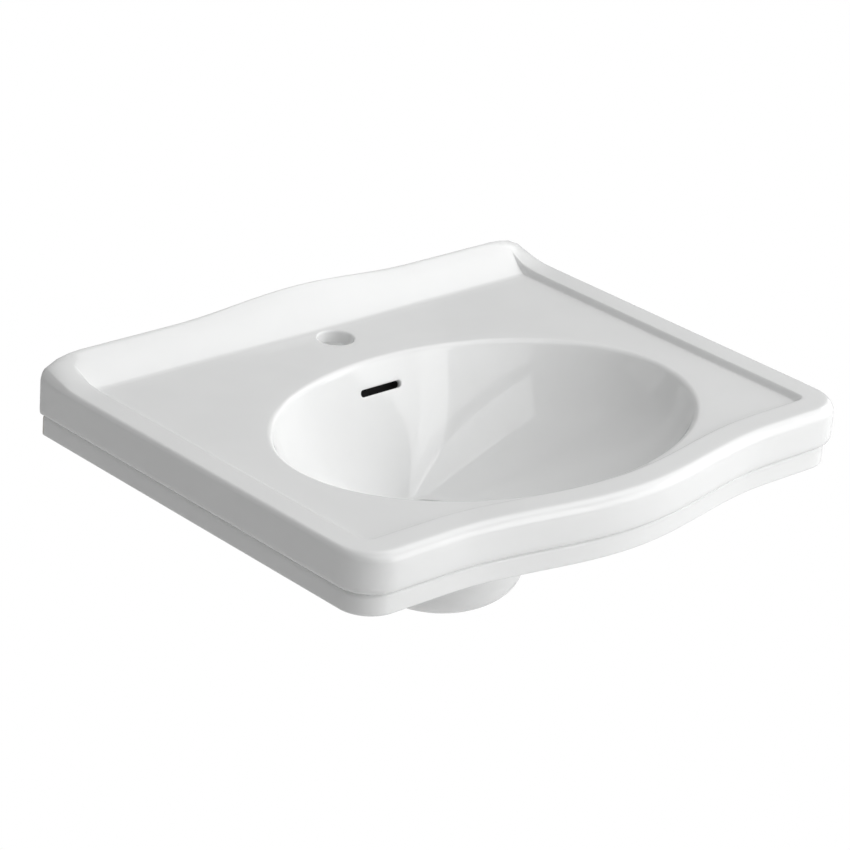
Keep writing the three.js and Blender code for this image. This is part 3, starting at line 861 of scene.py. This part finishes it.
def glaze_material(colours):
    """White glaze, bare china on the back and the foot, and painted shade: a near-black colour in the shallow
    pocket behind the overflow slot stands in for the shade inside a channel that is not modelled.
    """
    material, nodes, links, shader = new_material("White glaze")
    split = nodes.new("ShaderNodeSeparateXYZ")
    place = nodes.new("ShaderNodeTexCoord")
    links.new(place.outputs["Object"], split.inputs[0])
    drift = add_noise(nodes, links, 90.0, 3.0).outputs["Fac"]
    wander = between(nodes, links, drift, 0.3, 0.7, -0.0005, 0.0005)
    depth = combine(nodes, links, split.outputs["Y"], wander, "ADD")
    foot = combine(nodes, links, split.outputs["Z"], wander, "ADD")
    back = between(nodes, links, depth, -0.0022, -0.0012)
    under = between(nodes, links, foot, BOSS_FOOT_Z + 0.0016, BOSS_FOOT_Z + 0.0006)
    bare = combine(nodes, links, back, under, "MAXIMUM")
    cloud = add_noise(nodes, links, 14.0).outputs["Fac"]
    tint = (*colours.glaze, 1)
    softer = tuple(c * 0.985 for c in colours.glaze) + (1,)
    glaze = mix_colour(nodes, links, between(nodes, links, cloud, 0.35, 0.65), tint, softer)
    grain = add_noise(nodes, links, 700.0).outputs["Fac"]
    clay = tuple(colours.bisque) + (1,)
    darker = tuple(c * 0.9 for c in colours.bisque) + (1,)
    biscuit = mix_colour(nodes, links, between(nodes, links, grain, 0.4, 0.6), clay, darker)
    skin = mix_colour(nodes, links, bare, glaze, biscuit)
    # Painted shade: the pocket behind the overflow slot is coloured near black and made fully rough, standing
    # in for the shade inside a real channel.
    painted_pocket_shade = nodes.new("ShaderNodeAttribute")
    painted_pocket_shade.attribute_name = "painted_pocket_shade"
    colour = mix_colour(nodes, links, painted_pocket_shade.outputs["Fac"], skin, (0.012, 0.012, 0.012, 1))
    links.new(colour, shader.inputs["Base Color"])
    rough = between(nodes, links, bare, 0.0, 1.0, 0.06, 0.75)
    rough = combine(nodes, links, rough, painted_pocket_shade.outputs["Fac"], "MAXIMUM")
    links.new(rough, shader.inputs["Roughness"])
    shader.inputs["IOR"].default_value = 1.52
    ripple(nodes, links, shader, 26.0, 0.00012)
    return material


def metal_material(name, colour, rough, waves, depth):
    material, nodes, links, shader = new_material(name)
    haze = add_noise(nodes, links, 160.0, 4.0).outputs["Fac"]
    shader.inputs["Base Color"].default_value = (*colour, 1)
    shader.inputs["Metallic"].default_value = 1.0
    links.new(between(nodes, links, haze, 0.3, 0.7, rough * 0.8, rough * 1.25), shader.inputs["Roughness"])
    ripple(nodes, links, shader, waves, depth)
    return material


def zinc_material():
    """Bright zinc plate with its faint blue and yellow drift."""
    material, nodes, links, shader = new_material("Zinc plate")
    drift = add_noise(nodes, links, 120.0, 3.0).outputs["Fac"]
    colour = mix_colour(nodes, links, between(nodes, links, drift, 0.35, 0.65), (0.6, 0.63, 0.68, 1),
                        (0.68, 0.66, 0.6, 1))
    links.new(colour, shader.inputs["Base Color"])
    shader.inputs["Metallic"].default_value = 1.0
    links.new(between(nodes, links, drift, 0.3, 0.7, 0.24, 0.38), shader.inputs["Roughness"])
    ripple(nodes, links, shader, 900.0, 0.00002)
    return material


def soft_material(name, colour, rough, waves, depth, glow=0.0):
    material, nodes, links, shader = new_material(name)
    grain = add_noise(nodes, links, 350.0, 3.0).outputs["Fac"]
    shade = tuple(c * 0.86 for c in colour) + (1,)
    links.new(mix_colour(nodes, links, between(nodes, links, grain, 0.35, 0.65), (*colour, 1), shade),
              shader.inputs["Base Color"])
    shader.inputs["Roughness"].default_value = rough
    shader.inputs["Subsurface Weight"].default_value = glow
    shader.inputs["Subsurface Scale"].default_value = 0.002
    ripple(nodes, links, shader, waves, depth)
    return material


def shared_material(key):
    """The finish of one slot, made once."""
    makers = {
        "chrome": lambda: metal_material("Chrome plate", (0.72, 0.73, 0.74), 0.06, 60.0, 0.00002),
        "brass": lambda: metal_material("Bare brass", (0.68, 0.5, 0.24), 0.26, 500.0, 0.00002),
        "zinc": zinc_material,
        "rubber": lambda: soft_material("Black rubber", (0.022, 0.022, 0.024), 0.7, 900.0, 0.00005),
        "white_nylon": lambda: soft_material("White nylon", (0.8, 0.79, 0.75), 0.42, 500.0, 0.00003, 0.15),
        "grey_nylon": lambda: soft_material("Grey nylon", (0.3, 0.31, 0.33), 0.45, 500.0, 0.00003),
    }
    found = bpy.data.materials.get("slot " + key)
    if not found:
        found = makers[key]()
        found.name = "slot " + key
    return found


def set_material(piece, material):
    piece.data.materials.clear()
    piece.data.materials.append(material)


def finished(name, bm, body, slot, *nodes):
    """A small piece with its creases and its finish."""
    crease(bm)
    piece = new_piece(name, bm, body, slot, *nodes)
    set_material(piece, shared_material(slot))
    return piece


# ---------------------------------------------------------------------------
# Operators
# ---------------------------------------------------------------------------


class BASIN_OT_china(Operator):
    """Make the china body of the basin"""

    bl_idname = "washbasin.china"
    bl_label = "China body"

    def execute(self, context):
        scene = context.scene
        body = new_piece("china_body", china_body(scene.china_sizes), FIXED_BODY, "glaze", *CHINA_NODES)
        set_material(body, glaze_material(scene.china_colours))
        return {"FINISHED"}


class BASIN_OT_waste(Operator):
    """Make the waste with its gaskets, washer and backnut"""

    bl_idname = "washbasin.waste"
    bl_label = "Waste"

    def execute(self, context):
        low = DRAIN_LOW[2] / MM
        high = DRAIN_Z / MM
        floor = high - RECESS_DEPTH / MM
        clamp_z = CLAMP_Z / MM
        body = turned([
            (23, high - 0.2), (24, high), (29.6, high - 0.2), (30.6, high - 0.7), (31, high - 1.3),
            (31, floor + 2.6), (22.2, floor + 2.6), (22.2, floor - 2.4), (20.9, floor - 4),
            (20.9, clamp_z + 20), (19.5, clamp_z + 19), (19.5, low + 1), (18.8, low), (17.5, low),
            (17.5, high - 8), (18.5, high - 6),
        ])
        thread(body, 20.9, 2.309, low + 0.4, clamp_z + 20, 48)
        finished("waste_tail", at_drain(body), FIXED_BODY, "chrome", "waste_body")
        seat = washer(23, 29.5, floor + 0.3, floor + 2.3)
        finished("gasket_top", at_drain(seat), FIXED_BODY, "rubber", "waste_top_gasket")
        under = turned([(21.3, clamp_z - 4.3), (32.4, clamp_z - 4.3), (33.6, clamp_z - 3.9),
                        (34, clamp_z - 3), (34, clamp_z - 1.4), (32.6, clamp_z - 0.4), (21.3, clamp_z - 0.3)])
        finished("gasket_bottom", at_drain(under), FIXED_BODY, "rubber", "waste_bottom_gasket")
        slip = washer(21.3, 33, clamp_z - 6.1, clamp_z - 4.6, 0.3)
        finished("slip_washer", at_drain(slip), FIXED_BODY, "white_nylon", "waste_slip_washer")
        nut = hex_nut(57, 21.3, clamp_z - 17.4, clamp_z - 6.4)
        finished("backnut", at_drain(nut), FIXED_BODY, "chrome", "waste_backnut")
        return {"FINISHED"}


class BASIN_OT_plug(Operator):
    """Make the push-open plug and finish the parts that it slides on"""

    bl_idname = "washbasin.plug"
    bl_label = "Plug"

    def execute(self, context):
        foot = DRAIN_Z / MM - 5.5
        cap = turned([
            (0, foot + 7.9), (3, foot + 7.87), (6, foot + 7.78), (9, foot + 7.6), (12.5, foot + 7.25),
            (16, foot + 6.6), (18.5, foot + 5.85), (20.2, foot + 5.05), (21.0, foot + 4.4),
            (21.2, foot + 4.0), (20.9, foot + 3.5), (20.3, foot + 3.3), (12, foot + 3.3), (12, foot),
            (2.8, foot), (2.8, foot + 2.3), (0, foot + 2.3),
        ])
        finished("plug_dome", at_drain(cap), PLUG_BODY, "chrome", "plug_cap")
        seal = turned([(12.3, foot + 3), (20.2, foot + 3), (20.6, foot + 2.7), (20.1, foot + 1.9),
                       (19.2, foot + 0.9), (18.4, foot + 0.3), (12.3, foot + 0.3)])
        finished("plug_ring", at_drain(seal), PLUG_BODY, "rubber", "plug_seal")
        for node, slot in (("plug_stem", "brass"), ("plug_cartridge", "brass"), ("plug_spring", "zinc")):
            set_material(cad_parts[node], shared_material(slot))
        return {"FINISHED"}


class BASIN_OT_fixings(Operator):
    """Make the two wall fixings"""

    bl_idname = "washbasin.fixings"
    bl_label = "Wall fixings"

    def execute(self, context):
        for side, word in ((-1, "left"), (1, "right")):
            stud = turned([(0, -50), (3.6, -50), (4.2, -49.3), (4.2, 60), (2.6, 61.6), (0, 62)])
            thread(stud, 5, 1.5, -49.4, -4)
            thread(stud, 5, 3, 1, 60)
            finished("stud_" + word, along_fixing(stud, side), FIXED_BODY, "zinc", "hanger_stud_" + word)

            def fluted(radius, depth):
                return lambda a: (radius - depth * (0.5 + 0.5 * math.cos(8 * a)) ** 2) * MM

            rings = [ring_at(5.3 * MM, 62 * MM), ring_at(6 * MM, 62 * MM)]
            for step in range(11):
                z = 57 - step * 5
                rings.append(ring_at(fluted(7.0, 0.9), z * MM))
                rings.append(ring_at(fluted(6.3, 0.5), (z - 2) * MM))
            rings += [ring_at(7 * MM, 3 * MM), ring_at(8.4 * MM, 1.2 * MM), ring_at(8.5 * MM, 0.3 * MM),
                      ring_at(5.3 * MM, 0.3 * MM)]
            plug = skin_through(rings)
            face_out(plug)
            finished("wall_anchor_" + word, along_fixing(plug, side), FIXED_BODY, "grey_nylon",
                     "wall_plug_" + word)
            bush = turned([(5.3, -1), (12.2, -1), (12.2, -26.3), (17, -26.3), (17, -28.2), (16.6, -28.9),
                           (15.9, -29.3), (5.3, -29.3)])
            finished("bush_" + word, along_fixing(bush, side), FIXED_BODY, "white_nylon",
                     "fixing_bush_" + word)
            plate = washer(5.3, 14, -31.6, -29.6, 0.25)
            finished("washer_" + word, along_fixing(plate, side), FIXED_BODY, "zinc", "fixing_washer_" + word)
            nut = hex_nut(17, 5.3, -40.3, -31.9)
            finished("nut_" + word, along_fixing(nut, side), FIXED_BODY, "zinc", "fixing_nut_" + word)
        return {"FINISHED"}


class BASIN_OT_studio(Operator):
    """Make the floor, the light and the camera"""

    bl_idname = "washbasin.studio"
    bl_label = "Studio"

    def execute(self, context):
        scene = context.scene
        studio = scene.studio_settings
        add_camera(scene, studio)
        add_floor()
        add_lights()
        return {"FINISHED"}


def add_camera(scene, studio):
    data = bpy.data.cameras.new("camera")
    data.lens = studio.lens
    camera = bpy.data.objects.new("camera", data)
    scene.collection.objects.link(camera)
    back = Vector((-math.sin(studio.turn) * math.cos(studio.lift),
                   -math.cos(studio.turn) * math.cos(studio.lift), math.sin(studio.lift)))
    target = Vector((-25.6, -226.0, -30.6)) * MM
    turn = back.to_track_quat("Z", "Y").to_matrix().to_4x4() @ Matrix.Rotation(studio.roll, 4, "Z")
    camera.matrix_world = Matrix.Translation(target + back * studio.distance) @ turn
    scene.camera = camera


# Each softbox: name, place, width and height, power in watts.
SOFTBOXES = (
    ("right", (3.2, -0.5, 0.9), (3.2, 2.4), 26.6),
    ("right_high", (2.4, -0.4, 2.6), (2.6, 2.6), 34.2),
    ("front_right", (2.2, -3.1, 1.1), (3.4, 2.8), 59.0),
    ("front", (0.0, -3.8, 0.7), (3.2, 1.6), 15.3),
    ("front_high", (0.0, -2.5, 2.7), (3.2, 2.4), 31.0),
    ("top", (0.0, -0.2, 3.0), (3.4, 3.4), 9.9),
    ("back_high", (1.0, 2.5, 2.2), (3.0, 2.2), 3.6),
    ("left_back", (-2.8, 1.9, 0.8), (2.6, 2.2), 9.0),
)
SKY = 0.22


def white_to_camera(tree, output, lit, white):
    """Shows plain white to the camera and leaves the light that falls on everything else as it is."""
    path = tree.nodes.new("ShaderNodeLightPath")
    blend = tree.nodes.new("ShaderNodeMixShader")
    white.inputs["Color"].default_value = (1, 1, 1, 1)
    white.inputs["Strength"].default_value = 1.0
    tree.links.new(path.outputs["Is Camera Ray"], blend.inputs[0])
    tree.links.new(lit.outputs[0], blend.inputs[1])
    tree.links.new(white.outputs[0], blend.inputs[2])
    tree.links.new(blend.outputs[0], output.inputs["Surface"])


def clear_from_below(tree, output):
    """Lets the washbasin be seen from under the floor, through the back of its one face."""
    side = tree.nodes.new("ShaderNodeNewGeometry")
    clear = tree.nodes.new("ShaderNodeBsdfTransparent")
    blend = tree.nodes.new("ShaderNodeMixShader")
    seen = output.inputs["Surface"].links[0].from_socket
    tree.links.new(side.outputs["Backfacing"], blend.inputs[0])
    tree.links.new(seen, blend.inputs[1])
    tree.links.new(clear.outputs[0], blend.inputs[2])
    tree.links.new(blend.outputs[0], output.inputs["Surface"])


def add_floor():
    bm = bmesh.new()
    bmesh.ops.create_grid(bm, x_segments=1, y_segments=1, size=12)
    mesh = bpy.data.meshes.new("floor")
    bm.to_mesh(mesh)
    bm.free()
    floor = bpy.data.objects.new("floor", mesh)
    floor.location.z = -0.85
    bpy.context.scene.collection.objects.link(floor)
    material, nodes, links, shader = new_material("Pale floor")
    shader.inputs["Base Color"].default_value = (0.8, 0.8, 0.8, 1)
    shader.inputs["Roughness"].default_value = 0.9
    white = nodes.new("ShaderNodeEmission")
    white_to_camera(material.node_tree, nodes["Material Output"], shader, white)
    clear_from_below(material.node_tree, nodes["Material Output"])
    set_material(floor, material)


def add_softbox(name, place, size, power):
    data = bpy.data.lights.new(name, "AREA")
    data.shape = "RECTANGLE"
    data.size, data.size_y = size
    data.energy = power
    light = bpy.data.objects.new(name, data)
    light.location = place
    light.rotation_euler = (Vector((0, -0.25, -0.03)) - Vector(place)).to_track_quat("-Z", "Y").to_euler()
    bpy.context.scene.collection.objects.link(light)


def add_lights():
    scene = bpy.context.scene
    scene.view_settings.view_transform = "Standard"
    world = bpy.data.worlds.new("studio")
    scene.world = world
    world.use_nodes = True
    background = world.node_tree.nodes["Background"]
    background.inputs["Color"].default_value = (1, 1, 1, 1)
    background.inputs["Strength"].default_value = SKY
    nodes = world.node_tree.nodes
    white_to_camera(world.node_tree, nodes["World Output"], background, nodes.new("ShaderNodeBackground"))
    for name, place, size, power in SOFTBOXES:
        add_softbox(name, place, size, power)


class BASIN_PT_panel(Panel):
    """Sizes, colours and the pieces to make"""

    bl_idname = "BASIN_PT_panel"
    bl_label = "Washbasin"
    bl_space_type = "VIEW_3D"
    bl_region_type = "UI"
    bl_category = "Washbasin"

    def draw(self, context):
        scene = context.scene
        for group in (scene.china_sizes, scene.china_colours, scene.studio_settings):
            for name in group.__annotations__:
                self.layout.prop(group, name)
        for operator in OPERATORS:
            self.layout.operator(operator.bl_idname)


GROUPS = {"china_sizes": ChinaSizes, "china_colours": ChinaColours, "studio_settings": StudioSettings}
OPERATORS = (BASIN_OT_china, BASIN_OT_waste, BASIN_OT_plug, BASIN_OT_fixings, BASIN_OT_studio)


def register():
    for item in (*GROUPS.values(), *OPERATORS, BASIN_PT_panel):
        bpy.utils.register_class(item)
    for name, group in GROUPS.items():
        setattr(bpy.types.Scene, name, PointerProperty(type=group))


def unregister():
    for name in GROUPS:
        delattr(bpy.types.Scene, name)
    for item in (BASIN_PT_panel, *reversed(OPERATORS), *GROUPS.values()):
        bpy.utils.unregister_class(item)


def main():
    register()
    bpy.ops.washbasin.china()
    bpy.ops.washbasin.waste()
    bpy.ops.washbasin.plug()
    bpy.ops.washbasin.fixings()
    bpy.ops.washbasin.studio()


if __name__ == "__main__":
    main()
